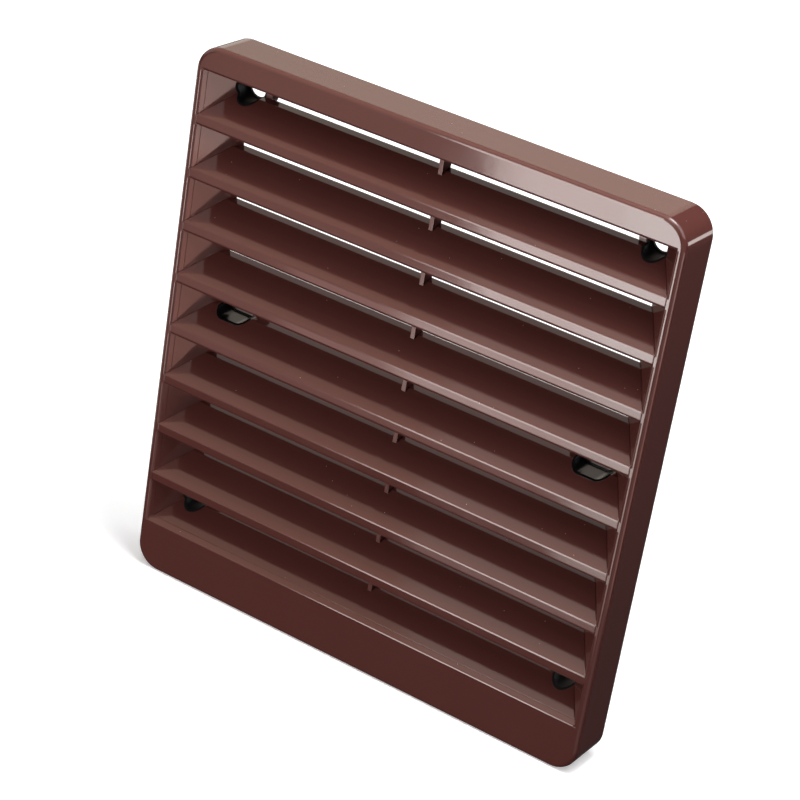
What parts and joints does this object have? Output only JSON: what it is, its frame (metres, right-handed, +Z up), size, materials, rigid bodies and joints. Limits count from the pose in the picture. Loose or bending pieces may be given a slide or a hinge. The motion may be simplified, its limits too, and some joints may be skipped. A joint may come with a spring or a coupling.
{
  "type": "louvred wall vent",
  "caption": "Shallow rectangular wall vent with fixed sloping louvres, splayed side panels, a centre rib and screw channels at the corners and sides.",
  "frame": {"origin": "centre of the back rim's plane, where the vent meets the wall", "axes": "+X to the right seen from the front, +Y into the wall, +Z up"},
  "size_m": [0.23, 0.0223, 0.2456],
  "materials": {
    "face_plastic": "moulded, glossy brown, faint orange peel",
    "louvre_plastic": "moulded, glossy brown",
    "panel_plastic": "moulded, glossy brown",
    "boss_plastic": "moulded, glossy brown",
    "bush_plastic": "moulded, glossy black"
  },
  "bodies": {
    "root": {"frame": "face_plastic", "side_panel_left": "panel_plastic", "side_panel_right": "panel_plastic", "head_shelf": "panel_plastic", "sill": "louvre_plastic", "centre_rib": "panel_plastic", "louvre_1": "louvre_plastic", "louvre_2": "louvre_plastic", "louvre_3": "louvre_plastic", "louvre_4": "louvre_plastic", "louvre_5": "louvre_plastic", "louvre_6": "louvre_plastic", "louvre_7": "louvre_plastic", "louvre_8": "louvre_plastic", "boss_top_left": "boss_plastic", "boss_top_right": "boss_plastic", "boss_middle_left": "boss_plastic", "boss_middle_right": "boss_plastic", "boss_bottom_left": "boss_plastic", "boss_bottom_right": "boss_plastic", "bush_top_left": "bush_plastic", "bush_top_right": "bush_plastic", "bush_middle_left": "bush_plastic", "bush_middle_right": "bush_plastic", "bush_bottom_left": "bush_plastic", "bush_bottom_right": "bush_plastic"}
  },
  "joints": []
}
